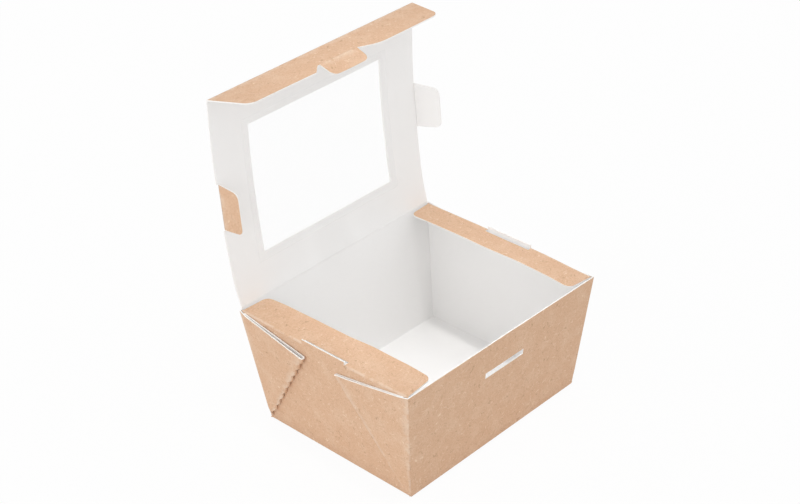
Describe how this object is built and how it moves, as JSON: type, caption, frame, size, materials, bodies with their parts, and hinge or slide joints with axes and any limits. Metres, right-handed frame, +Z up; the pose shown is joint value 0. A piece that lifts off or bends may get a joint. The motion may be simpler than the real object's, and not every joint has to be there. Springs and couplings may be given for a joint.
{
  "type": "takeaway box",
  "caption": "Open folded kraft-board takeaway box with tapered walls, doubled corner gussets, inturned dust flaps and a hinged window lid that tucks into slots.",
  "frame": {"origin": "middle of the base's underside, on the surface the box stands on", "axes": "+Z up, -Y towards the front wall with the slot, +Y towards the lid's fold, +X to the right seen from the front"},
  "size_m": [0.1345, 0.1129, 0.1716],
  "materials": {
    "kraft_board": "matte brown kraft outside, white inside",
    "clear_film": "clear and glossy"
  },
  "bodies": {
    "tray": {"tray": "kraft_board"},
    "lid": {"lid": "kraft_board", "window_film": "clear_film"},
    "front_flap": {"front_flap": "kraft_board"},
    "front_tongue": {"front_tongue": "kraft_board"},
    "left_lid_tab": {"left_lid_tab": "kraft_board"},
    "right_lid_tab": {"right_lid_tab": "kraft_board"},
    "left_dust_flap": {"left_dust_flap": "kraft_board"},
    "right_dust_flap": {"right_dust_flap": "kraft_board"}
  },
  "joints": [
    {"name": "lid_fold", "type": "hinge", "parent": "tray", "child": "lid", "pos_m": [0, 0.0524, 0.06248], "axis": [1, 0, 0], "range_deg": [-70, 93.3]},
    {"name": "front_flap_fold", "type": "hinge", "parent": "lid", "child": "front_flap", "pos_m": [0, 0.05849, 0.1682], "axis": [1, 0, 0], "range_deg": [-86, 10]},
    {"name": "front_tongue_fold", "type": "hinge", "parent": "front_flap", "child": "front_tongue", "pos_m": [0, 0.04193, 0.17032], "axis": [1, 0, 0], "range_deg": [-34, 46]},
    {"name": "left_tab_fold", "type": "hinge", "parent": "lid", "child": "left_lid_tab", "pos_m": [-0.06275, 0.05849, 0.11522], "axis": [0, 0.0576, 0.9983], "range_deg": [-8.35, 11.1]},
    {"name": "right_tab_fold", "type": "hinge", "parent": "lid", "child": "right_lid_tab", "pos_m": [0.06275, 0.05849, 0.11522], "axis": [0, -0.0576, -0.9983], "range_deg": [-30.11, 40.1]},
    {"name": "left_dust_flap_fold", "type": "hinge", "parent": "tray", "child": "left_dust_flap", "pos_m": [-0.0629, 0, 0.0613], "axis": [0, 1, 0], "range_deg": [-120, 20]},
    {"name": "right_dust_flap_fold", "type": "hinge", "parent": "tray", "child": "right_dust_flap", "pos_m": [0.0629, 0, 0.0613], "axis": [0, -1, 0], "range_deg": [-120, 20]}
  ],
  "couplings": [
    {"joint": "left_tab_fold", "follows": "lid_fold", "ratio": 0.1179},
    {"joint": "right_tab_fold", "follows": "lid_fold", "ratio": 0.42873}
  ]
}
